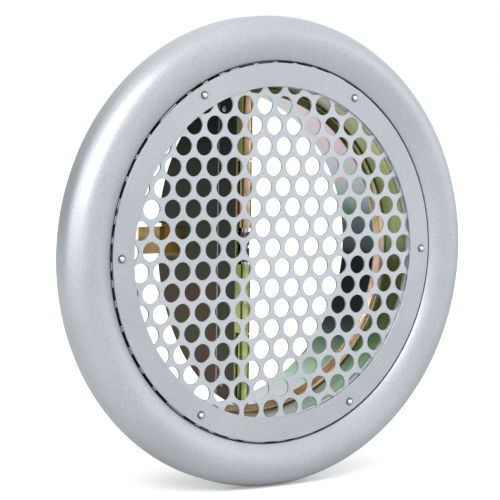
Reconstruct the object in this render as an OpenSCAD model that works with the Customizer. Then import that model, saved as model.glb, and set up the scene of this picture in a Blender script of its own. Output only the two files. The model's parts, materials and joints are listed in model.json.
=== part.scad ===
// Round ceiling air diffuser with a perforated face and a pair of spring-closed damper flaps.
// The duct axis runs along Y. Y = 0 is the plane that lies against the ceiling, the room is
// towards -Y and the duct is towards +Y. The flaps hinge on a pin that stands along Z.

/* [Trim ring] */
// Width of the ring's band, from its seat wall to its outer edge
ring_band = 19; // [16:0.5:26]
// Height of the crest above the perforated sheet
ring_rise = 4; // [3:0.5:6]
// Radius of the outer roll
ring_roll_r = 9; // [7:0.5:11]
// Thickness of the spun sheet
ring_wall = 1.2; // [0.8:0.1:1.5]
// Width of the edge turned in against the ceiling
ring_hem = 4; // [3:0.5:6]

/* [Perforated face] */
// Distance from the ceiling to the front of the perforated sheet
face_height = 10.5; // [9.5:0.5:14]
// Width of the flat bezel band
bezel_band = 10; // [9:0.5:14]
// Thickness of the bezel
bezel_t = 1; // [0.8:0.1:1.5]
// Thickness of the perforated sheet
sheet_t = 1; // [0.8:0.1:1.2]
// Depth of the backing ring with its turned inner edge
backing_depth = 2.2; // [1.8:0.1:3]
// Gap between the face and its seat, all round
face_gap = 1; // [0.8:0.1:2]
// Diameter of one perforation
hole_d = 8; // [6:0.1:8.5]
// Distance between the centres of neighbouring perforations
hole_pitch = 10; // [10:0.5:14]
// Sideways offset of the hole pattern from the face's centre
pattern_x = -2.5; // [-5:0.5:5]
// Upward offset of the hole pattern from the face's centre
pattern_z = 2.4; // [-4:0.1:4]
// Number of rivets through the face
face_rivets_n = 6; // [3:1:12]
// Diameter of a face rivet's head
face_rivet_head_d = 3.6; // [3.2:0.1:4.4]

/* [Damper tube] */
// Bore of the damper tube and of the open face
tube_id = 142; // [125:1:180]
// Wall of the tube
tube_wall = 1; // [0.8:0.1:1.5]
// How far the tube reaches behind the ceiling
tube_reach = 40; // [34:1:60]
// Thickness of the mounting flange
flange_t = 1; // [0.8:0.1:1.5]
// Length of the flange's collar on the tube
collar_len = 7.5; // [5:0.5:10]
// Thickness of the foam gasket against the ceiling
gasket_t = 1.8; // [1.5:0.1:3]
// Height of the rubber seal above the tube
seal_h = 2.9; // [2.5:0.1:5]
// Length of the seal's flat land
seal_land = 6; // [4:0.5:10]
// Diameter of the screw holes to the ceiling
screw_hole_d = 4.5; // [3.5:0.1:5]
// Number of ceiling screws, and of the rivets between them
screws_n = 3; // [3:1:4]

/* [Flaps] */
// Distance of the hinge pin behind the ceiling
hinge_y = 15.5; // [14:0.5:20]
// Diameter of the hinge pin
pin_d = 3; // [2.5:0.1:4]
// Thickness of the hinge leaves, whose ends roll into the knuckles
leaf_t = 1; // [0.8:0.1:1.2]
// Width of a hinge leaf from the pin
leaf_w = 18; // [16:0.5:26]
// Thickness of the flap blades
blade_t = 0.8; // [0.6:0.1:1]
// Gap between a flap's edge and the tube
flap_gap = 1.6; // [1.2:0.1:3]
// Angle that each folded flap leans outwards from the middle plane
flap_lean = 1.8; // [1.5:0.1:3]
// Width of the tab bent out of each flap's free edge
tab_w = 12.6; // [8:0.1:14]
// How far the tab stands out
tab_l = 13; // [8:0.5:13]
// Diameter of the closing springs' wire
spring_wire = 0.6; // [0.4:0.1:0.7]

/* [Hidden] */

ring_fn = 180;                 // sides of the large rounds
small_fn = 48;                 // sides of the small rounds
cut = 1;                       // how far a cutting shape runs past what it cuts

// Face and ring, worked out from the tube's bore outwards
tube_r = tube_id / 2;
tube_out_r = tube_r + tube_wall;
field_r = tube_r;
face_r = field_r + bezel_band;
seat_r = face_r + face_gap;
ring_r = seat_r + ring_band;
sheet_r = face_r + face_gap * 0.45;        // reaches into the gap beyond the bezel
backing_r = face_r - 0.8;
sheet_y = -face_height;                    // front of the perforated sheet
bezel_y = sheet_y - bezel_t;               // front of the bezel
backing_y = sheet_y + sheet_t;             // front of the backing ring
backing_t = 1;                             // thickness of the backing ring's sheet
face_back_y = backing_y + backing_depth;   // rearmost edge of the face
seat_lip = 0.3;                            // how far the seat's edge stands above the sheet
crest_y = sheet_y - ring_rise;
floor_y = -gasket_t - ring_wall;           // front of the ring's floor
flange_y = floor_y - flange_t;             // front of the mounting flange
rivet_circle_r = field_r + bezel_band * 0.6;
face_rivet_r = 1.5;
weld_gap = 0.3;                            // gap between the face and the tube behind it

// Tube, flange and seal
tube_y = face_back_y + weld_gap;
collar_t = 1;                              // wall of the flange's collar
collar_r = tube_out_r + collar_t;
floor_r = collar_r + 0.4;                  // inner edge of the ring's floor and of the gasket
flange_r = seat_r - 1.2;
screw_circle_r = (floor_r + seat_r) / 2 - 0.7;
flange_rivet_r = 1.6;
seal_r = tube_out_r + seal_h;
seal_y = tube_reach - 12;                  // front edge of the seal's land

// Hinge and flaps. Flap coordinates: the pin is at the origin and the blade runs along +Y
pin_r = pin_d / 2;
running_gap = 0.06;                        // radial gap between the pin and what turns on it
knuckle_in = pin_r + running_gap;
knuckle_r = knuckle_in + leaf_t;
leaf_x = -knuckle_r;                       // outer face of the left leaf
blade_x = leaf_x + leaf_t;                 // outer face of the left blade
blade_in_x = blade_x + blade_t;            // inner face of the left blade
flap_r = tube_r - flap_gap;
root_gap = knuckle_r + 0.35;               // where a leaf or blade starts, clear of a knuckle
leaf_half = sqrt(pow(flap_r, 2) - pow(leaf_w, 2)) - 0.4;
stop_t = 0.8;
stop_y = hinge_y - knuckle_r - 0.15 - stop_t;   // front of the stop ring's lip
stop_leg = 5.5;                            // length of the stop ring's leg along the tube
stop_r = flap_r - 1;                       // inner edge of the stop ring's lip
tab_r = stop_r - 2.2;                      // outer face of the tab
knuckle_end = flap_r - 1.4;
spring_top = 9.2;                          // the springs' gap in the row of knuckles
spring_bottom = -6.5;
knuckle_gap = 0.5;                         // end gap between neighbouring knuckles
top_split = (spring_top + knuckle_end) / 2;
bottom_split = (spring_bottom - knuckle_end) / 2;
left_knuckles = [[top_split, knuckle_end], [bottom_split, spring_bottom]];
right_knuckles = [[spring_top, top_split], [-knuckle_end, bottom_split]];
leaf_rivet_y = leaf_w - 4.5;
leaf_rivet_z = [18, 36, leaf_half - 5.4];
leaf_rivet_r = 0.9;
leaf_rivet_head_r = 1.3;
coil_turns = 9;
coil_pitch = spring_wire + 0.05;
coil_r = pin_r + 0.1 + spring_wire / 2;    // radius of the coil's centre line
coil_steps = 14;                           // sections in one turn
coil_top = 7.5;
spring_leg = 26;
link_w = 12;
link_t = 0.6;
solder_t = 0.3;

// Points along an arc about c, from angle a0 to a1
function arc(c, r, a0, a1, n = 20) =
    [for (i = [0:n]) c + r * [cos(a0 + (a1 - a0) * i / n), sin(a0 + (a1 - a0) * i / n)]];

// A profile of [radius, y] turned about the duct axis
module lathe() rotate([-90, 0, 0]) rotate_extrude($fn = ring_fn) children();

// A flat shape drawn in X and Z, from y to y + t
module plate(y, t) translate([0, y + t, 0]) rotate([90, 0, 0]) linear_extrude(t) children();

// A flat shape drawn in Y and Z, from x to x + t
module side_plate(x, t) translate([x, 0, 0]) rotate([90, 0, 90]) linear_extrude(t) children();

// A round bar along the duct axis, from y to y + l
module bar_y(y, l, r) translate([0, y, 0]) rotate([-90, 0, 0]) cylinder(r = r, h = l, $fn = small_fn);

// A ring section with square edges
module band(r0, r1, y0, y1) lathe() translate([r0, y0]) square([r1 - r0, y1 - y0]);

// Copies on a circle about the duct axis, the first at angle a
module around(n, r, a = 0) for (i = [0:n - 1]) rotate([0, -a - i * 360 / n, 0]) translate([r, 0, 0]) children();

// ---------- Trim ring ----------

module trim_ring() {
    // The slope is an arc from the seat's edge to the crest; its radius follows from run and rise
    crest_r = ring_r - ring_roll_r;
    edge_y = sheet_y - seat_lip;
    run = crest_r - seat_r;
    rise = edge_y - crest_y;
    slope_r = (run * run + rise * rise) / (2 * rise);
    slope_a = asin(run / slope_r);
    slope_c = [crest_r, crest_y + slope_r];
    roll_c = [crest_r, crest_y + ring_roll_r];
    inner_a = asin((run - ring_wall) / (slope_r - ring_wall));
    color("silver") difference() {
        lathe() polygon(concat(
            [[floor_r, floor_y], [seat_r, floor_y]],
            arc(slope_c, slope_r, -90 - slope_a, -90),
            arc(roll_c, ring_roll_r, -90, 0),
            [[ring_r, 0], [ring_r - ring_hem, 0], [ring_r - ring_hem, -ring_wall],
             [ring_r - ring_wall, -ring_wall]],
            arc(roll_c, ring_roll_r - ring_wall, 0, -90),
            arc(slope_c, slope_r - ring_wall, -90, -90 - inner_a),
            [[seat_r + ring_wall, floor_y + ring_wall], [floor_r, floor_y + ring_wall]]));
        around(screws_n, screw_circle_r) bar_y(floor_y - cut, ring_wall + 2 * cut, screw_hole_d / 2);
        around(screws_n, screw_circle_r, 180 / screws_n)
            bar_y(floor_y - cut, ring_wall + 2 * cut, flange_rivet_r);
    }
}

// ---------- Face: bezel, perforated sheet, backing ring, rivets and clips ----------

module rivet_holes(y, t) around(face_rivets_n, rivet_circle_r) bar_y(y - cut, t + 2 * cut, face_rivet_r);

module bezel_ring() color("silver") difference() {
    band(field_r, face_r, bezel_y, sheet_y);
    rivet_holes(bezel_y, bezel_t);
}

// Rows of holes, every other row shifted by half a pitch, out to the sheet's scalloped edge
module perforated_sheet() {
    scallop_min = 0.5;         // least depth of a hole cut by the sheet's edge
    row_step = hole_pitch * sqrt(3) / 2;
    rows = ceil(face_r / row_step) + 1;
    columns = ceil(face_r / hole_pitch) + 1;
    color("silver") difference() {
        plate(sheet_y, sheet_t) circle(r = sheet_r, $fn = ring_fn);
        for (j = [-rows:rows], i = [-columns:columns]) {
            x = pattern_x + (i + (j % 2 == 0 ? 0 : 0.5)) * hole_pitch;
            z = pattern_z + j * row_step;
            if (norm([x, z]) < sheet_r + hole_d / 2 - scallop_min)
                translate([x, 0, z]) bar_y(sheet_y - cut, sheet_t + 2 * cut, hole_d / 2);
        }
        rivet_holes(sheet_y, sheet_t);
    }
}

module backing_ring() color("silver") difference() {
    lathe() polygon([[field_r, backing_y], [backing_r, backing_y], [backing_r, backing_y + backing_t],
                     [field_r + backing_t, backing_y + backing_t], [field_r + backing_t, face_back_y],
                     [field_r, face_back_y]]);
    rivet_holes(backing_y, backing_t);
}

// Flat head with a small dome in front of the bezel, shank, and a flat closed end behind the backing ring
module face_rivets() {
    head_r = face_rivet_head_d / 2;
    head_h = 0.25;
    dome_half = head_r * 0.7;
    dome_h = 1.1;
    dome_r = (dome_half * dome_half + dome_h * dome_h) / (2 * dome_h);
    front_y = bezel_y - head_h - dome_h;
    tail_y = backing_y + backing_t;
    tail_r = 2.4;
    tail_t = 0.8;
    color("lightgray") around(face_rivets_n, rivet_circle_r) rotate([-90, 0, 0])
        rotate_extrude($fn = small_fn) polygon(concat(
            [[0, tail_y + tail_t]],
            arc([0, front_y + dome_r], dome_r, -90, -90 + asin(dome_half / dome_r), 8),
            [[head_r - 0.1, bezel_y - head_h], [head_r, bezel_y], [face_rivet_r, bezel_y],
             [face_rivet_r, tail_y], [tail_r, tail_y], [tail_r, tail_y + tail_t]]));
}

// Bowed leaf springs behind the backing ring that press on the seat's wall
module face_clips() {
    clip_t = 0.5;
    clip_w = 8;
    y0 = backing_y + backing_t;
    y_end = flange_y - 0.5;
    reach = seat_r - 0.15;
    y_mid = (y0 + y_end) / 2 + 0.4;
    for (i = [0:2]) color("dimgray") rotate([0, -30 - 120 * i, 0])
        translate([0, 0, -clip_w / 2]) linear_extrude(clip_w) polygon([
            [field_r + 4, y0], [backing_r - 0.6, y0], [reach, y_mid], [reach - 1.3, y_end],
            [reach - 1.3 - clip_t, y_end - 0.1], [reach - clip_t, y_mid],
            [backing_r - 0.8, y0 + clip_t], [field_r + 4, y0 + clip_t]]);
}

// ---------- Tube, mounting flange, gasket, stop ring and seal ----------

module damper_tube() color("darkkhaki") difference() {
    band(tube_r, tube_out_r, tube_y, tube_reach);
    translate([0, hinge_y, -tube_out_r - cut])
        cylinder(r = knuckle_in, h = 2 * (tube_out_r + cut), $fn = small_fn);
}

module mounting_flange() color("darkkhaki") difference() {
    lathe() polygon([[tube_out_r, flange_y], [flange_r, flange_y], [flange_r, floor_y],
                     [collar_r, floor_y], [collar_r, flange_y + collar_len],
                     [tube_out_r, flange_y + collar_len]]);
    around(screws_n, screw_circle_r) bar_y(flange_y - cut, flange_t + 2 * cut, screw_hole_d / 2);
    around(screws_n, screw_circle_r, 180 / screws_n)
        bar_y(flange_y - cut, flange_t + 2 * cut, flange_rivet_r);
}

// Rivets that hold the trim ring's floor to the flange, their tails sunk in the gasket
module flange_rivets() {
    y0 = flange_y;
    y1 = floor_y + ring_wall;
    color("lightgray") around(screws_n, screw_circle_r, 180 / screws_n) rotate([-90, 0, 0])
        rotate_extrude($fn = small_fn) polygon([
            [0, y0 - 0.9], [1.9, y0 - 0.9], [2.9, y0 - 0.3], [2.9, y0], [flange_rivet_r, y0],
            [flange_rivet_r, y1], [2.4, y1], [2.4, y1 + 0.8], [0, y1 + 0.8]]);
}

module ceiling_gasket() color("#303030") difference() {
    band(floor_r, seat_r, -gasket_t, 0);
    around(screws_n, screw_circle_r) bar_y(-gasket_t - cut, gasket_t + 2 * cut, screw_hole_d / 2);
    around(screws_n, screw_circle_r, 180 / screws_n) bar_y(-gasket_t - cut, gasket_t + 2 * cut, 2.6);
}

// Angle ring inside the tube: the shut flaps lie against the back of its lip
module stop_ring() color("tan") lathe() polygon([
    [stop_r, stop_y], [tube_r - stop_t, stop_y], [tube_r - stop_t, stop_y + stop_t - stop_leg],
    [tube_r, stop_y + stop_t - stop_leg], [tube_r, stop_y + stop_t], [stop_r, stop_y + stop_t]]);

// Rubber band with a flat land that the duct slides over
module duct_seal() color("#202020") lathe() polygon([
    [tube_out_r, seal_y - 2], [seal_r - 1, seal_y - 1], [seal_r, seal_y], [seal_r, seal_y + seal_land],
    [seal_r - 1.2, seal_y + seal_land + 2], [tube_out_r, seal_y + seal_land + 3]]);

// ---------- Hinge ----------

module at_hinge() translate([0, hinge_y, 0]) children();

// Pin with a domed head above the tube; its other end holds the push nut
module hinge_pin() {
    head_z = tube_out_r + 0.05;
    head_r = 2.7;
    head_h = 1.3;
    dome_r = (head_r * head_r + head_h * head_h) / (2 * head_h);
    color("gainsboro") at_hinge() rotate_extrude($fn = small_fn) polygon(concat(
        [[0, -tube_out_r - 1.5], [pin_r - 0.3, -tube_out_r - 1.5], [pin_r, -tube_out_r - 1.2],
         [pin_r, head_z]],
        arc([0, head_z + head_h - dome_r], dome_r, 90 - asin(head_r / dome_r), 90, 8)));
}

module pin_push_nut() color("silver") at_hinge() translate([0, 0, -tube_out_r])
    rotate_extrude($fn = small_fn) polygon([
        [pin_r, -1], [pin_r + 0.5, -1], [pin_r + 0.8, -0.5], [3.3, -0.5], [3.3, -0.05], [pin_r, -0.05]]);

// Short bushes that fill the space between the end knuckles and the tube's wall
module hinge_bushes() color("goldenrod") at_hinge() for (s = [-1, 1]) {
    bush_wall = leaf_t - 0.2;  // stays inside the knuckles' outline, clear of the stop ring
    z0 = knuckle_end + 0.2;
    z1 = tube_r - 0.2;
    translate([0, 0, s > 0 ? z0 : -z1]) rotate_extrude($fn = small_fn)
        translate([knuckle_in, 0]) square([bush_wall, z1 - z0]);
}

// ---------- Flaps: each is drawn as the left one, standing straight back from the pin ----------

module left_side() at_hinge() rotate([0, 0, flap_lean]) children();
module right_side() at_hinge() rotate([0, 0, -flap_lean]) mirror([1, 0, 0]) children();

// Half disc, trimmed straight where the tab bends out of it
module flap_blade() {
    relief = 1.5;
    difference() {
        side_plate(blade_x, blade_t) intersection() {
            circle(r = flap_r, $fn = ring_fn);
            translate([root_gap, -flap_r]) square([flap_r, 2 * flap_r]);
        }
        translate([blade_x - cut, tab_r, -tab_w / 2 - relief])
            cube([blade_t + 2 * cut, flap_r, tab_w + 2 * relief]);
    }
    translate([blade_x - tab_l, tab_r - blade_t, -tab_w / 2]) cube([tab_l + blade_t, blade_t, tab_w]);
}

// Strip on the outer face of the blade, its root rolled round the pin in the given spans
module hinge_leaf(spans) difference() {
    union() {
        side_plate(leaf_x, leaf_t) translate([root_gap, -leaf_half]) square([leaf_w - root_gap, 2 * leaf_half]);
        for (s = spans) {
            z0 = s[0] + knuckle_gap / 2;
            h = s[1] - s[0] - knuckle_gap;
            translate([0, 0, z0]) cylinder(r = knuckle_r, h = h, $fn = small_fn);
            translate([leaf_x, 0, z0]) cube([leaf_t, root_gap + 0.5, h]);
        }
    }
    translate([0, 0, -flap_r]) cylinder(r = knuckle_in, h = 2 * flap_r, $fn = small_fn);
}

module leaf_rivets() for (z = leaf_rivet_z, s = [-1, 1]) {
    head_h = 0.7;
    dome_r = (leaf_rivet_head_r * leaf_rivet_head_r + head_h * head_h) / (2 * head_h);
    translate([0, leaf_rivet_y, s * z]) rotate([0, 90, 0]) rotate_extrude($fn = small_fn) polygon(concat(
        [[0, blade_in_x + 0.4], [0, leaf_x - head_h]],
        arc([0, leaf_x - head_h + dome_r], dome_r, -90, -90 + asin(leaf_rivet_head_r / dome_r), 6),
        [[leaf_rivet_r, leaf_x], [leaf_rivet_r, blade_in_x], [leaf_rivet_head_r, blade_in_x],
         [leaf_rivet_head_r, blade_in_x + 0.4]]));
}

module rivet_bores() for (z = leaf_rivet_z, s = [-1, 1])
    translate([leaf_x - cut, leaf_rivet_y, s * z]) rotate([0, 90, 0])
        cylinder(r = leaf_rivet_r, h = leaf_t + blade_t + 2 * cut, $fn = small_fn);

module riveted_blade() color("darkolivegreen") difference() {
    flap_blade();
    rivet_bores();
}

module riveted_leaf(spans) color("olivedrab") difference() {
    hinge_leaf(spans);
    rivet_bores();
}

// Wire swept along a coil round the pin and out along the blade's inner face
leg_x = blade_in_x + spring_wire / 2 + 0.05;
coil_end = 75;                 // angle at which the coil turns off into the leg
coil_path = [for (i = [0:coil_turns * coil_steps])
    let (a = coil_end - 360 * (coil_turns - i / coil_steps))
    [coil_r * cos(a), coil_r * sin(a), coil_top - coil_pitch * (coil_turns - i / coil_steps)]];
leg_path = [[-0.1, coil_r + 0.2, coil_top], [leg_x + 0.04, coil_r + 0.65, coil_top],
            [leg_x, coil_r + 1.3, coil_top], [leg_x, spring_leg, coil_top]];
wire_path = concat(coil_path, leg_path);
wire_sides = 6;

function unit(v) = v / norm(v);
function tangent(p, i) = unit(p[min(i + 1, len(p) - 1)] - p[max(i - 1, 0)]);
function wire_ring(c, t) = let (side = unit(cross(t, [0, 0, 1])), up = cross(side, t))
    [for (k = [0:wire_sides - 1]) let (a = 360 * k / wire_sides)
        c + spring_wire / 2 * (side * cos(a) + up * sin(a))];

module closing_spring() {
    n = len(wire_path);
    m = wire_sides;
    points = [for (i = [0:n - 1]) each wire_ring(wire_path[i], tangent(wire_path, i))];
    walls = [for (i = [0:n - 2], k = [0:m - 1])
        [i * m + k, i * m + (k + 1) % m, (i + 1) * m + (k + 1) % m, (i + 1) * m + k]];
    start = [for (k = [m - 1:-1:0]) k];
    end = [for (k = [0:m - 1]) (n - 1) * m + k];
    color("dimgray") polyhedron(points = points, faces = concat([start], walls, [end]));
}

// Fusible link between the folded flaps: a foot on each blade, and two leaves soldered face to face
function lean(x, y) = [x * cos(flap_lean) - y * sin(flap_lean), x * sin(flap_lean) + y * cos(flap_lean)];

module link_plate() {
    foot_end = flap_r - 5.4;
    foot_start = foot_end - 6;
    leaf_end = foot_start - 5;
    leaf_start = leaf_end - 23;
    in_x = -solder_t / 2;
    color("peru") at_hinge() translate([0, 0, -link_w / 2]) linear_extrude(link_w) polygon([
        lean(blade_in_x, foot_end), lean(blade_in_x + link_t, foot_end),
        lean(blade_in_x + link_t, foot_start), [in_x, leaf_end], [in_x, leaf_start],
        [in_x - link_t, leaf_start], [in_x - link_t, leaf_end - 0.4], lean(blade_in_x, foot_start - 0.4)]);
}

module link_solder() color("lightsteelblue") at_hinge()
    translate([-solder_t / 2, flap_r - 37.4, -link_w / 2 + 1]) cube([solder_t - 0.05, 18, link_w - 2]);

trim_ring();
bezel_ring();
perforated_sheet();
backing_ring();
face_rivets();
face_clips();
damper_tube();
mounting_flange();
flange_rivets();
ceiling_gasket();
stop_ring();
duct_seal();
hinge_pin();
pin_push_nut();
hinge_bushes();
left_side() riveted_blade();  // flap_blade_left
left_side() riveted_leaf(left_knuckles);  // hinge_leaf_left
left_side() color("lightgray") leaf_rivets();  // leaf_rivets_left
left_side() closing_spring();  // closing_spring_left
link_plate();  // link_plate_left
link_solder();
right_side() riveted_blade();  // flap_blade_right
right_side() riveted_leaf(right_knuckles);  // hinge_leaf_right
right_side() color("lightgray") leaf_rivets();  // leaf_rivets_right
right_side() translate([0, 0, 2]) mirror([0, 0, 1]) closing_spring();  // closing_spring_right
mirror([1, 0, 0]) link_plate();  // link_plate_right
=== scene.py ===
import bpy
import json
import math
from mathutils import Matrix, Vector


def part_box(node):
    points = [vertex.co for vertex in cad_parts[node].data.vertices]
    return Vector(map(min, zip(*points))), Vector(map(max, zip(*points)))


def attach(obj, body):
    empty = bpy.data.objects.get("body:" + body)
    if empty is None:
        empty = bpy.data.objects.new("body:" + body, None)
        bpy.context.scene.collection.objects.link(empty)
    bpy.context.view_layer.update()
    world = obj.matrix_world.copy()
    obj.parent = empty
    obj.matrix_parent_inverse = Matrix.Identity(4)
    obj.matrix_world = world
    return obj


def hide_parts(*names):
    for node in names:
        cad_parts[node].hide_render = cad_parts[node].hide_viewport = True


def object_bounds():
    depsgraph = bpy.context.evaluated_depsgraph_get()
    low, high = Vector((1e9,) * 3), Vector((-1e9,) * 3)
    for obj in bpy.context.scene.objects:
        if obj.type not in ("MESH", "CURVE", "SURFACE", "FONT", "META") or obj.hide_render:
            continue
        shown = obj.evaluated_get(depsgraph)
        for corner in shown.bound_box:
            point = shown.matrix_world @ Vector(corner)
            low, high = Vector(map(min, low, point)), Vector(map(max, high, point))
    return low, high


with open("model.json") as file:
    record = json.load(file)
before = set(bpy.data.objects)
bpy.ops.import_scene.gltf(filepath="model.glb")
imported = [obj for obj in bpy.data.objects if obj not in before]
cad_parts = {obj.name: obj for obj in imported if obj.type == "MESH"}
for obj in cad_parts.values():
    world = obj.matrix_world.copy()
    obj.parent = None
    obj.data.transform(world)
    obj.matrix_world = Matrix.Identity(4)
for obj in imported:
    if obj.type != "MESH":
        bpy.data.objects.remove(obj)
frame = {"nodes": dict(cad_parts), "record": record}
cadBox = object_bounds()
print("frame loaded")

# Camera: the object is seen from its left, a little above the middle of the face

view = {
    "place": (-0.4429, -0.6618, 0.0591),
    "turn": (85.796, -0.758, -33.286),     # degrees
    "lens": 133.04,
    "sensor": 36.0,                        # millimetres, like the lens
    "reach": 20.0,
}


def setCamera():
    turn = [math.radians(a) for a in view["turn"]]
    bpy.ops.object.camera_add(location=view["place"], rotation=turn)
    camera = bpy.context.object
    camera.data.sensor_width = view["sensor"]
    camera.data.lens = view["lens"]
    camera.data.clip_end = view["reach"]
    bpy.context.scene.camera = camera
    bpy.context.scene.view_settings.view_transform = "Standard"


setCamera()
print("camera set")

# Small helpers


def deselectAll():
    if bpy.context.object and bpy.context.object.mode != "OBJECT":
        bpy.ops.object.mode_set(mode="OBJECT")
    bpy.ops.object.select_all(action="DESELECT")


def makeActive(piece):
    deselectAll()
    piece.select_set(True)
    bpy.context.view_layer.objects.active = piece


def bodyOf(nodeName):
    bodies = frame["record"]["behaviour"]["bodies"]
    return next(body for body, nodes in bodies.items() if nodeName in nodes)


# Material building blocks


def newMaterial(name):
    material = bpy.data.materials.new(name)
    material.use_nodes = True
    tree = material.node_tree
    shader = tree.nodes["Principled BSDF"]
    return material, tree, shader


def objectPlace(tree, scale=(1, 1, 1), turn=(0, 0, 0)):
    coords = tree.nodes.new("ShaderNodeTexCoord")
    mapping = tree.nodes.new("ShaderNodeMapping")
    mapping.inputs["Scale"].default_value = scale
    mapping.inputs["Rotation"].default_value = [math.radians(a) for a in turn]
    tree.links.new(coords.outputs["Object"], mapping.inputs["Vector"])
    return mapping.outputs["Vector"]


def noise(tree, place, scale, detail=3.0, roughness=0.5, distortion=0.0):
    node = tree.nodes.new("ShaderNodeTexNoise")
    node.inputs["Scale"].default_value = scale
    node.inputs["Detail"].default_value = detail
    node.inputs["Roughness"].default_value = roughness
    node.inputs["Distortion"].default_value = distortion
    tree.links.new(place, node.inputs["Vector"])
    return node.outputs["Fac"]


def remap(tree, value, fromLow, fromHigh, toLow, toHigh):
    node = tree.nodes.new("ShaderNodeMapRange")
    node.inputs["From Min"].default_value = fromLow
    node.inputs["From Max"].default_value = fromHigh
    node.inputs["To Min"].default_value = toLow
    node.inputs["To Max"].default_value = toHigh
    tree.links.new(value, node.inputs["Value"])
    return node.outputs["Result"]


def ramp(tree, value, stops):
    node = tree.nodes.new("ShaderNodeValToRGB")
    elements = node.color_ramp.elements
    elements[0].position, elements[0].color = stops[0][0], (*stops[0][1], 1)
    elements[1].position, elements[1].color = stops[-1][0], (*stops[-1][1], 1)
    for position, colour in stops[1:-1]:
        elements.new(position).color = (*colour, 1)
    tree.links.new(value, node.inputs["Fac"])
    return node.outputs["Color"]


def mixColours(tree, amount, first, second, blend="MIX"):
    node = tree.nodes.new("ShaderNodeMix")
    node.data_type = "RGBA"
    node.blend_type = blend
    for socket, value in (("Factor", amount), ("A", first), ("B", second)):
        target = [s for s in node.inputs if s.name == socket and s.enabled][0]
        if isinstance(value, bpy.types.NodeSocket):
            tree.links.new(value, target)
        elif isinstance(value, tuple):
            target.default_value = (*value, 1)
        else:
            target.default_value = value
    return [s for s in node.outputs if s.enabled][0]


def combine(tree, operation, first, second):
    node = tree.nodes.new("ShaderNodeMath")
    node.operation = operation
    for socket, value in zip(node.inputs, (first, second)):
        if isinstance(value, bpy.types.NodeSocket):
            tree.links.new(value, socket)
        else:
            socket.default_value = value
    return node.outputs["Value"]


def bump(tree, shader, height, strength, distance):
    node = tree.nodes.new("ShaderNodeBump")
    node.inputs["Strength"].default_value = strength
    node.inputs["Distance"].default_value = distance
    tree.links.new(height, node.inputs["Height"])
    tree.links.new(node.outputs["Normal"], shader.inputs["Normal"])


# Satin silver paint on the ring and the face

silverPaint = {
    "colour": (0.495, 0.522, 0.548),
    "shade": (0.450, 0.475, 0.500),        # thinner or dustier patches
    "metallic": 0.75,
    "roughness": 0.45,
    "roughPatches": (-0.04, 0.05),         # how much smoother and rougher the patches are
    "patch": 22.0,                         # patches to a metre
    "flake": 1900.0,                       # flakes to a metre
    "sparkle": (0.80, 1.08),               # shade of the dullest and the brightest flakes
    "flakeDepth": 0.00008,
}


def satinSilver(name, paintedLift=1.0):
    # a lift above 1 makes a brighter copy of the same paint: painted light on that piece
    material, tree, shader = newMaterial(name)
    place = objectPlace(tree)
    clouds = noise(tree, place, silverPaint["patch"], 4.0)
    flakes = noise(tree, place, silverPaint["flake"], 2.0, 0.7)
    light = tuple(c * paintedLift for c in silverPaint["colour"])
    dark = tuple(c * paintedLift for c in silverPaint["shade"])
    patches = ramp(tree, clouds, [(0.35, dark), (0.65, light)])
    dull, bright = silverPaint["sparkle"]
    sparkle = ramp(tree, flakes, [(0.3, (dull,) * 3), (0.7, (bright,) * 3)])
    colour = mixColours(tree, 1.0, patches, sparkle, "MULTIPLY")
    tree.links.new(colour, shader.inputs["Base Color"])
    shader.inputs["Metallic"].default_value = silverPaint["metallic"]
    smoother, rougher = (silverPaint["roughness"] + step for step in silverPaint["roughPatches"])
    tree.links.new(remap(tree, clouds, 0.3, 0.7, smoother, rougher), shader.inputs["Roughness"])
    bump(tree, shader, flakes, 0.16, silverPaint["flakeDepth"])
    return material


# Yellow chromate over zinc: thin, glossy, with rainbow clouds that differ from piece to piece

chromate = {
    "grain": 900.0,                        # fine grain of the plated sheet, to a metre
    "metallic": 0.92,
    "softMetallic": 0.35,                  # where the plating is matt
    "grainDepth": 0.00005,
}


def axisValue(tree, place, axis):
    split = tree.nodes.new("ShaderNodeSeparateXYZ")
    tree.links.new(place, split.inputs["Vector"])
    return split.outputs[axis]


def drifted(tree, axis, low, high, cloudScale, drift):
    # runs from 0 at low to 1 at high along an axis, pushed to and fro by clouds
    along = axisValue(tree, objectPlace(tree), axis)
    clouds = noise(tree, objectPlace(tree), cloudScale, 3.0, 0.55, 0.6)
    push = remap(tree, clouds, 0.25, 0.75, -drift, drift)
    return remap(tree, combine(tree, "ADD", along, push), low, high, 0.0, 1.0)


def past(tree, axis, edge, blur, absolute=False):
    # 0 before the edge and 1 past it
    along = axisValue(tree, objectPlace(tree), axis)
    if absolute:
        along = combine(tree, "ABSOLUTE", along, 0.0)
    return remap(tree, along, edge - blur, edge + blur, 0.0, 1.0)


def plated(name, colourOf, roughness, softOf=None):
    # softOf says where the plating is matt and bright instead of dark and mirror-like
    material, tree, shader = newMaterial(name)
    fine = noise(tree, objectPlace(tree), chromate["grain"], 3.0, 0.6)
    grain = ramp(tree, fine, [(0.3, (0.88, 0.88, 0.88)), (0.7, (1, 1, 1))])
    colour = mixColours(tree, 1.0, colourOf(tree), grain, "MULTIPLY")
    tree.links.new(colour, shader.inputs["Base Color"])
    shader.inputs["Metallic"].default_value = chromate["metallic"]
    if softOf:
        metal = remap(tree, softOf(tree), 0.0, 1.0, chromate["metallic"], chromate["softMetallic"])
        tree.links.new(metal, shader.inputs["Metallic"])
    rough = remap(tree, fine, 0.3, 0.7, roughness - 0.03, roughness + 0.04)
    tree.links.new(rough, shader.inputs["Roughness"])
    bump(tree, shader, fine, 0.05, chromate["grainDepth"])
    return material


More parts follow.
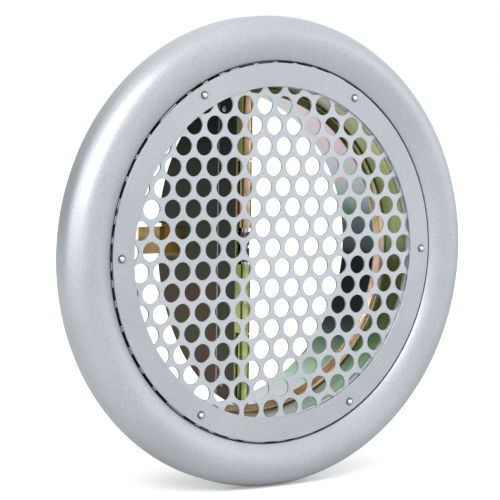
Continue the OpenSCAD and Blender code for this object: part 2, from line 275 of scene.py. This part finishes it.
tubeLooks = {
    "front": [(0.0, (0.12, 0.19, 0.15)), (0.12, (0.21, 0.40, 0.22)), (0.2, (0.15, 0.30, 0.10)),
              (0.32, (0.24, 0.33, 0.14)), (0.42, (0.38, 0.52, 0.27)), (0.5, (0.42, 0.56, 0.29)),
              (0.62, (0.38, 0.44, 0.17)), (0.72, (0.26, 0.31, 0.12)), (0.82, (0.52, 0.54, 0.24)),
              (0.92, (0.34, 0.36, 0.16)), (1.0, (0.30, 0.32, 0.14))],
    "back": [(0.0, (0.46, 0.58, 0.58)), (0.08, (0.42, 0.56, 0.46)), (0.15, (0.22, 0.36, 0.22)),
             (0.22, (0.075, 0.14, 0.12)), (0.3, (0.04, 0.08, 0.07)),
             (0.4, (0.05, 0.085, 0.08)), (0.52, (0.06, 0.095, 0.09)),
             (0.6, (0.10, 0.17, 0.15)), (0.67, (0.34, 0.47, 0.45)), (0.75, (0.62, 0.62, 0.61)),
             (0.84, (0.70, 0.68, 0.69)), (0.93, (0.70, 0.73, 0.73)), (1.0, (0.54, 0.56, 0.52))],
    # painted light near the face and painted shade deeper into the tube, multiplied over the front
    # bands
    "paintedDepthShade": [(0.0, (1.15, 1.12, 1.05)), (0.3, (0.95, 0.95, 0.9)), (0.55, (0.70, 0.74, 0.68)),
             (0.8, (0.52, 0.56, 0.48)), (1.0, (0.42, 0.45, 0.38))],
    "tint": [(0.34, (1.04, 1.10, 0.72)), (0.44, (0.88, 0.99, 1.12)), (0.54, (1.22, 0.86, 0.97)),
             (0.66, (0.88, 1.08, 0.88))],
    "half": 0.071,                         # the bands run over the tube's bore, bottom to top
    "paintedDepthShadeRun": (-0.007, 0.009),            # depth over which the painted shade darkens the front
    "shadeStreakReach": 0.22,
    "stopLip": 0.0119,                     # depth at which the stop ring parts the tube
}


def tubeColour(tree):
    half = tubeLooks["half"]
    height = drifted(tree, "Z", -half, half, 24.0, 0.004)
    tint = ramp(tree, noise(tree, objectPlace(tree), 55.0, 2.0, 0.5, 1.0), tubeLooks["tint"])
    depth = remap(tree, axisValue(tree, objectPlace(tree), "Y"), *tubeLooks["paintedDepthShadeRun"], 0.0, 1.0)
    shadeStreak = noise(tree, objectPlace(tree, (1.0, 4.0, 0.5)), 90.0, 3.0, 0.6)
    reach = tubeLooks["shadeStreakReach"]
    push = remap(tree, shadeStreak, 0.3, 0.7, -reach, reach)
    # the front is painted lighter near the face and darker deeper in: painted shade, its edge moved
    # about in streaks
    shade = ramp(tree, combine(tree, "ADD", depth, push), tubeLooks["paintedDepthShade"])
    front = mixColours(tree, 1.0, ramp(tree, height, tubeLooks["front"]), shade, "MULTIPLY")
    back = mixColours(tree, 1.0, ramp(tree, height, tubeLooks["back"]), tint, "MULTIPLY")
    return mixColours(tree, past(tree, "Y", tubeLooks["stopLip"], 0.0002), front, back)


flangeLooks = {
    "bands": [(0.0, (0.30, 0.30, 0.14)), (0.3, (0.55, 0.45, 0.22)), (0.5, (0.34, 0.40, 0.24)),
              (0.7, (0.52, 0.34, 0.30)), (1.0, (0.40, 0.38, 0.18))],
    "half": 0.081,
}


def flangeColour(tree):
    half = flangeLooks["half"]
    return ramp(tree, drifted(tree, "X", -half, half, 24.0, 0.03), flangeLooks["bands"])


stopLooks = {
    "bands": [(0.0, (0.52, 0.38, 0.23)), (0.2, (0.76, 0.55, 0.40)), (0.38, (1.0, 0.80, 0.64)),
              (0.5, (1.0, 0.84, 0.75)), (0.6, (0.90, 0.76, 0.44)), (0.72, (0.40, 0.38, 0.16)),
              (0.85, (0.20, 0.21, 0.08)), (1.0, (0.22, 0.22, 0.09))],
    "half": 0.071,
}


def stopColour(tree):
    half = stopLooks["half"]
    return ramp(tree, drifted(tree, "Z", -half, half, 22.0, 0.004), stopLooks["bands"])


flapLooks = {
    # the blade's tones are darkened to stand for the shade it sits in: painted shade, under the
    # plating's own hues
    "blade": [(0.0, (0.060, 0.040, 0.040)), (0.2, (0.054, 0.052, 0.028)),
              (0.35, (0.040, 0.043, 0.026)), (0.5, (0.028, 0.038, 0.024)),
              (0.7, (0.026, 0.031, 0.023)), (1.0, (0.034, 0.036, 0.036))],
    "half": 0.07,                          # the bands run over the blade, bottom to top
    "maroon": [(0.0, (1.75, 0.84, 1.10)), (0.3, (1.5, 0.9, 1.0)), (0.5, (1.05, 1.0, 0.95)),
               (1.0, (1.15, 0.95, 1.05))],
    "green": (0.92, 1.14, 0.82),
    "tab": [(0.3, (0.66, 0.38, 0.14)), (0.5, (0.98, 0.68, 0.32)), (0.7, (1.0, 0.86, 0.56))],
    "tabReflection": (0.34, 0.23, 0.07),            # painted reflection of the golden tab on the blade beside it
    "tabReflectionStart": 0.070,                    # depth of its middle, and half its width
    "tabReflectionHalf": 0.0066,
    "tabStart": 0.0050,                    # sideways distance past which it is the tab
}


def bladeHeight(tree):
    half = flapLooks["half"]
    return drifted(tree, "Z", -half, half, 20.0, 0.012)


def bladeColour(tree):
    height = bladeHeight(tree)
    clouds = noise(tree, objectPlace(tree), 46.0, 3.0, 0.6, 0.8)
    maroon = ramp(tree, height, flapLooks["maroon"])
    hue = mixColours(tree, remap(tree, clouds, 0.43, 0.57, 0.0, 1.0), flapLooks["green"], maroon)
    # the dark blade tones are painted shade; the maroon and green clouds over them are the
    # plating's hues
    flat = mixColours(tree, 1.0, ramp(tree, height, flapLooks["blade"]), hue, "MULTIPLY")
    tab = ramp(tree, noise(tree, objectPlace(tree), 160.0, 3.0), flapLooks["tab"])
    # a golden patch painted on the blade beside the tab: a painted reflection of the tab
    beside = past(tree, "Z", flapLooks["tabReflectionHalf"], 0.0012, True)
    reflectionMask = combine(tree, "MULTIPLY", past(tree, "Y", flapLooks["tabReflectionStart"], 0.009),
                     combine(tree, "SUBTRACT", 1.0, beside))
    withReflection = mixColours(tree, reflectionMask, flat, flapLooks["tabReflection"])
    return mixColours(tree, onTab(tree), withReflection, tab)


def onTab(tree):
    return past(tree, "X", flapLooks["tabStart"], 0.0002, True)


leafLooks = {
    "upper": [(0.0, (0.42, 0.44, 0.14)), (0.12, (0.62, 0.34, 0.28)), (0.28, (0.78, 0.44, 0.36)),
              (0.42, (0.84, 0.62, 0.32)), (0.55, (0.92, 0.84, 0.58)), (0.7, (0.62, 0.66, 0.24)),
              (0.84, (0.46, 0.50, 0.16)), (0.94, (0.66, 0.38, 0.34)), (1.0, (0.40, 0.22, 0.20))],
    "lower": [(0.0, (0.26, 0.32, 0.10)), (0.2, (0.52, 0.58, 0.20)), (0.42, (0.72, 0.74, 0.34)),
              (0.6, (0.46, 0.56, 0.20)), (0.78, (0.58, 0.36, 0.28)), (1.0, (0.34, 0.32, 0.14))],
    "knuckle": 0.0026,                     # reach of the knuckles to each side of the pin
    "curl": 0.0190,                        # depth past which the flat of the leaf is dark with the blade's painted shade
    "cutEdgeAndGlint": 0.0008,                     # width of the pale band: the bare cut edge with a painted highlight
    "cutAndGlintColour": (0.34, 0.39, 0.39),
}


def leafColour(tree):
    # the rolled knuckles shine in bands of plating hue with a painted sheen across the curl, the
    # flat of the leaf is as dark as the blade, in the same painted shade
    reach = leafLooks["knuckle"]
    across = drifted(tree, "X", -reach, reach, 40.0, 0.0011)
    lower = ramp(tree, across, leafLooks["lower"])
    upper = ramp(tree, across, leafLooks["upper"])
    bands = mixColours(tree, past(tree, "Z", 0.0, 0.012), lower, upper)
    flat = ramp(tree, bladeHeight(tree), flapLooks["blade"])
    plate = mixColours(tree, past(tree, "Y", leafLooks["curl"], 0.0002), bands, flat)
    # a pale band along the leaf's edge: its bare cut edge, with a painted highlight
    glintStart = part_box("hinge_leaf_left")[1][1] - leafLooks["cutEdgeAndGlint"]
    return mixColours(tree, past(tree, "Y", glintStart, 0.0001), plate, leafLooks["cutAndGlintColour"])


metalGrain = {
    "scale": 1400.0,                       # grains to a metre
    "metallic": 0.95,
    "dulled": 0.8,                         # shade of the dull grains
    "depth": 0.00005,
}


def bareMetal(name, colour, roughness, stretch=(1, 1, 1)):
    material, tree, shader = newMaterial(name)
    grain = noise(tree, objectPlace(tree, stretch), metalGrain["scale"], 3.0, 0.6)
    dull = tuple(c * metalGrain["dulled"] for c in colour)
    tree.links.new(ramp(tree, grain, [(0.3, dull), (0.7, colour)]), shader.inputs["Base Color"])
    shader.inputs["Metallic"].default_value = metalGrain["metallic"]
    rough = remap(tree, grain, 0.3, 0.7, roughness - 0.06, roughness + 0.08)
    tree.links.new(rough, shader.inputs["Roughness"])
    bump(tree, shader, grain, 0.12, metalGrain["depth"])
    return material


faceRivetLooks = {
    "domeHeight": 0.00115,                 # from the dome's top to its foot, over which painted shade darkens the rivet
    "metal": [(0.0, (0.82, 0.84, 0.86)), (0.45, (0.62, 0.64, 0.66)), (0.78, (0.30, 0.32, 0.34)),
              (1.0, (0.15, 0.16, 0.17))],
    "roughness": 0.2,
}


def shadedDomeRivet(name):
    material, tree, shader = newMaterial(name)
    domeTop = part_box("face_rivets")[0][1]
    foot = domeTop + faceRivetLooks["domeHeight"]
    # the dome is painted light at its top and dark towards its foot: painted highlight and painted
    # shade
    depth = remap(tree, axisValue(tree, objectPlace(tree), "Y"), domeTop, foot, 0.0, 1.0)
    tree.links.new(ramp(tree, depth, faceRivetLooks["metal"]), shader.inputs["Base Color"])
    shader.inputs["Metallic"].default_value = metalGrain["metallic"]
    scuffs = noise(tree, objectPlace(tree), metalGrain["scale"], 3.0, 0.6)
    middle = faceRivetLooks["roughness"]
    rough = remap(tree, scuffs, 0.3, 0.7, middle - 0.05, middle + 0.07)
    tree.links.new(rough, shader.inputs["Roughness"])
    bump(tree, shader, scuffs, 0.12, metalGrain["depth"])
    return material


def softBlack(name, colour, roughness, pores, depth):
    material, tree, shader = newMaterial(name)
    place = objectPlace(tree)
    cells = noise(tree, place, pores, 4.0, 0.65)
    dust = noise(tree, place, 40.0, 3.0)
    pale = tuple(c * 1.8 + 0.01 for c in colour)
    tree.links.new(ramp(tree, dust, [(0.4, colour), (0.75, pale)]), shader.inputs["Base Color"])
    rough = remap(tree, cells, 0.3, 0.7, roughness - 0.06, roughness + 0.06)
    tree.links.new(rough, shader.inputs["Roughness"])
    bump(tree, shader, cells, 0.5, depth)
    return material


finishes = {
    "trim_ring": satinSilver("ringPaint"),
    "bezel_ring": satinSilver("bezelPaint"),
    # the sheet and the backing ring take brighter copies of the one paint: painted light
    "perforated_sheet": satinSilver("sheetPaint", 1.12),
    "backing_ring": satinSilver("backingPaint", 1.25),
    "face_rivets": shadedDomeRivet("rivetPaint"),
    "face_clips": bareMetal("bluedSteel", (0.16, 0.17, 0.20), 0.30),
    "damper_tube": plated("tubeChromate", tubeColour, 0.16),
    "mounting_flange": plated("flangeChromate", flangeColour, 0.24),
    "flange_rivets": bareMetal("flangeRivetMetal", (0.70, 0.71, 0.72), 0.32),
    "ceiling_gasket": softBlack("closedFoam", (0.035, 0.035, 0.037), 0.85, 1800.0, 0.0004),
    "stop_ring": plated("stopChromate", stopColour, 0.20),
    "duct_seal": softBlack("sealRubber", (0.022, 0.022, 0.024), 0.6, 900.0, 0.0001),
    "hinge_pin": bareMetal("pinSteel", (0.72, 0.73, 0.75), 0.24, (1, 1, 0.08)),
    "pin_push_nut": bareMetal("nutSteel", (0.50, 0.50, 0.50), 0.32),
    "hinge_bushes": bareMetal("bushBrass", (0.78, 0.58, 0.28), 0.28),
    "link_solder": bareMetal("dullSolder", (0.42, 0.43, 0.46), 0.45),
}
for side in ("left", "right"):
    finishes["flap_blade_" + side] = plated("bladeChromate_" + side, bladeColour, 0.12, onTab)
    finishes["hinge_leaf_" + side] = plated("leafChromate_" + side, leafColour, 0.17)
    finishes["leaf_rivets_" + side] = bareMetal("leafRivetMetal_" + side, (0.55, 0.52, 0.42), 0.3)
    finishes["closing_spring_" + side] = bareMetal("springWire_" + side, (0.13, 0.13, 0.14), 0.28)
    finishes["link_plate_" + side] = bareMetal("linkBrass_" + side, (0.74, 0.55, 0.26), 0.26)
print("materials made")


# Pieces with eased edges, each shaped from a merged copy of its frame node

sheetWork = {                              # angles in degrees
    "mergeWithin": 0.000002,
    "flatWithin": 0.3,
    "easedPast": 40,
    "smoothUpTo": 35,
    "flatWeight": 100,
}
easedEdges = {                             # width of the eased edge in metres, and its segments
    "trim_ring": (0.00025, 2),
    "bezel_ring": (0.00022, 2),
    "perforated_sheet": (0.00016, 1),
    "backing_ring": (0.0002, 2),
    "damper_tube": (0.0002, 2),
    "mounting_flange": (0.0002, 2),
    "stop_ring": (0.00018, 2),
    "face_clips": (0.0001, 1),
    "flap_blade_left": (0.00018, 2),
    "flap_blade_right": (0.00018, 2),
    "hinge_leaf_left": (0.0002, 2),
    "hinge_leaf_right": (0.0002, 2),
    "link_plate_left": (0.00012, 1),
    "link_plate_right": (0.00012, 1),
}


def mergedCopy(nodeName):
    makeActive(bpy.data.objects[nodeName])
    bpy.ops.object.duplicate()
    piece = bpy.context.object
    piece.name = nodeName + "_finished"
    piece.parent = None
    for mark in list(piece.keys()):        # marks of the frame node
        del piece[mark]
    makeActive(piece)
    bpy.ops.object.mode_set(mode="EDIT")
    bpy.ops.mesh.select_all(action="SELECT")
    bpy.ops.mesh.remove_doubles(threshold=sheetWork["mergeWithin"])
    bpy.ops.mesh.dissolve_limited(angle_limit=math.radians(sheetWork["flatWithin"]))
    bpy.ops.object.mode_set(mode="OBJECT")
    return piece


def finishPiece(piece, nodeName):
    piece.data.materials.clear()
    piece.data.materials.append(finishes[nodeName])
    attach(piece, bodyOf(nodeName))
    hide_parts(nodeName)


def easeEdges(nodeName):
    width, segments = easedEdges[nodeName]
    piece = mergedCopy(nodeName)
    ease = piece.modifiers.new("easedEdge", "BEVEL")
    ease.width = width
    ease.segments = segments
    ease.limit_method = "ANGLE"
    ease.angle_limit = math.radians(sheetWork["easedPast"])
    bpy.ops.object.modifier_apply(modifier=ease.name)
    bpy.ops.object.shade_smooth_by_angle(angle=math.radians(sheetWork["smoothUpTo"]))
    flats = piece.modifiers.new("flatFaces", "WEIGHTED_NORMAL")
    flats.keep_sharp = True
    flats.weight = sheetWork["flatWeight"]
    bpy.ops.object.modifier_apply(modifier=flats.name)
    finishPiece(piece, nodeName)
    return piece


for nodeName in easedEdges:
    piece = easeEdges(nodeName)
    print(nodeName, len(piece.data.polygons))
print("edges eased")

# Round spring wire, smoothed from the six-sided wire of the frame

for side in ("left", "right"):
    nodeName = "closing_spring_" + side
    wire = mergedCopy(nodeName)
    roundWire = wire.modifiers.new("roundWire", "SUBSURF")
    roundWire.levels = 1
    roundWire.render_levels = 1
    bpy.ops.object.modifier_apply(modifier=roundWire.name)
    bpy.ops.object.shade_smooth()
    finishPiece(wire, nodeName)
print("springs made")

# The other frame nodes keep their shape and take their finish

replaced = set(easedEdges) | {"closing_spring_left", "closing_spring_right"}
for nodeName in frame["nodes"]:
    if nodeName not in replaced:
        node = bpy.data.objects[nodeName]
        node.data.materials.clear()
        node.data.materials.append(finishes[nodeName])

# Floor, surroundings and lamps

studio = {
    "floorSize": 12.0,
    "floorGap": 0.0002,                    # between the paper and the ring
    "floorColour": (0.95, 0.95, 0.95),
    "floorGlow": 0.22,                     # keeps the paper white in the picture
    "floorShade": 0.62,                    # how pale the paper is to the object above it
    "surround": 1.08,                      # brightness of the white room on the object
    "walls": (0.97, 0.985, 1.0),
    "ceiling": (2.0, 2.0, 2.0),
    "ceilingLift": 0.12,                   # how much of the ceiling's light shows overhead
    "darkCorner": (-0.60, 0.80, 0.0),      # where the room opens to the dark
    "darkest": 0.10,
    "darkRun": (0.55, 0.9),                # where the walls start to darken and where they are dark
    "lamps": {                             # place, size and power of each softbox
        "keySoftbox": ((-1.3, -1.2, 1.3), 1.2, 30.0),
        "fillSoftbox": ((1.5, -1.0, 0.4), 1.2, 3.0),
        "sideSoftbox": ((-1.7, 0.05, 0.55), 1.0, 6.0),
    },
}


def layFloor():
    deselectAll()
    bottom = cadBox[0][2]
    place = (0, 0, bottom - studio["floorGap"])
    bpy.ops.mesh.primitive_plane_add(size=studio["floorSize"], location=place)
    floor = bpy.context.object
    floor.name = "studioFloor"
    material, tree, shader = newMaterial("palePaper")
    fibre = noise(tree, objectPlace(tree), 60.0, 3.0)
    pale = studio["floorColour"]
    grey = tuple(v * 0.985 for v in pale)
    paper = ramp(tree, fibre, [(0.3, grey), (0.7, pale)])
    seen = tree.nodes.new("ShaderNodeLightPath").outputs["Is Camera Ray"]
    shaded = (studio["floorShade"],) * 3
    tree.links.new(mixColours(tree, seen, shaded, paper), shader.inputs["Base Color"])
    shader.inputs["Roughness"].default_value = 0.9
    shader.inputs["Emission Color"].default_value = (1, 1, 1, 1)
    glow = combine(tree, "MULTIPLY", seen, studio["floorGlow"])
    tree.links.new(glow, shader.inputs["Emission Strength"])
    floor.data.materials.append(material)


def lightSurroundings():
    world = bpy.data.worlds.new("whiteRoom")
    bpy.context.scene.world = world
    world.use_nodes = True
    tree = world.node_tree
    background = tree.nodes["Background"]
    seen = tree.nodes.new("ShaderNodeBackground")
    seen.inputs["Strength"].default_value = 1.0
    seen.inputs["Color"].default_value = (1, 1, 1, 1)
    background.inputs["Strength"].default_value = studio["surround"]
    direction = tree.nodes.new("ShaderNodeTexCoord").outputs["Generated"]
    toCorner = tree.nodes.new("ShaderNodeVectorMath")
    toCorner.operation = "DOT_PRODUCT"
    toCorner.inputs[1].default_value = Vector(studio["darkCorner"]).normalized()
    tree.links.new(direction, toCorner.inputs[0])
    pale, dark = studio["walls"], (studio["darkest"],) * 3
    darkFrom, darkTo = studio["darkRun"]
    shades = [(0.0, pale), (darkFrom, pale), (darkTo, dark), (1.0, dark)]
    walls = ramp(tree, toCorner.outputs["Value"], shades)
    overhead = remap(tree, axisValue(tree, direction, "Z"), 0.0, 1.0, 0.0, studio["ceilingLift"])
    tree.links.new(mixColours(tree, overhead, walls, studio["ceiling"]), background.inputs["Color"])
    path = tree.nodes.new("ShaderNodeLightPath")
    mix = tree.nodes.new("ShaderNodeMixShader")
    tree.links.new(path.outputs["Is Camera Ray"], mix.inputs["Fac"])
    tree.links.new(background.outputs["Background"], mix.inputs[1])
    tree.links.new(seen.outputs["Background"], mix.inputs[2])
    tree.links.new(mix.outputs["Shader"], tree.nodes["World Output"].inputs["Surface"])


def hangLamp(name, place, size, power):
    deselectAll()
    bpy.ops.object.light_add(type="AREA", location=place)
    lamp = bpy.context.object
    lamp.name = name
    lamp.data.size = size
    lamp.data.energy = power
    lamp.rotation_euler = (-Vector(place)).to_track_quat("-Z", "Y").to_euler()


layFloor()
lightSurroundings()
for lampName, (place, size, power) in studio["lamps"].items():
    hangLamp(lampName, place, size, power)
print("studio lit")
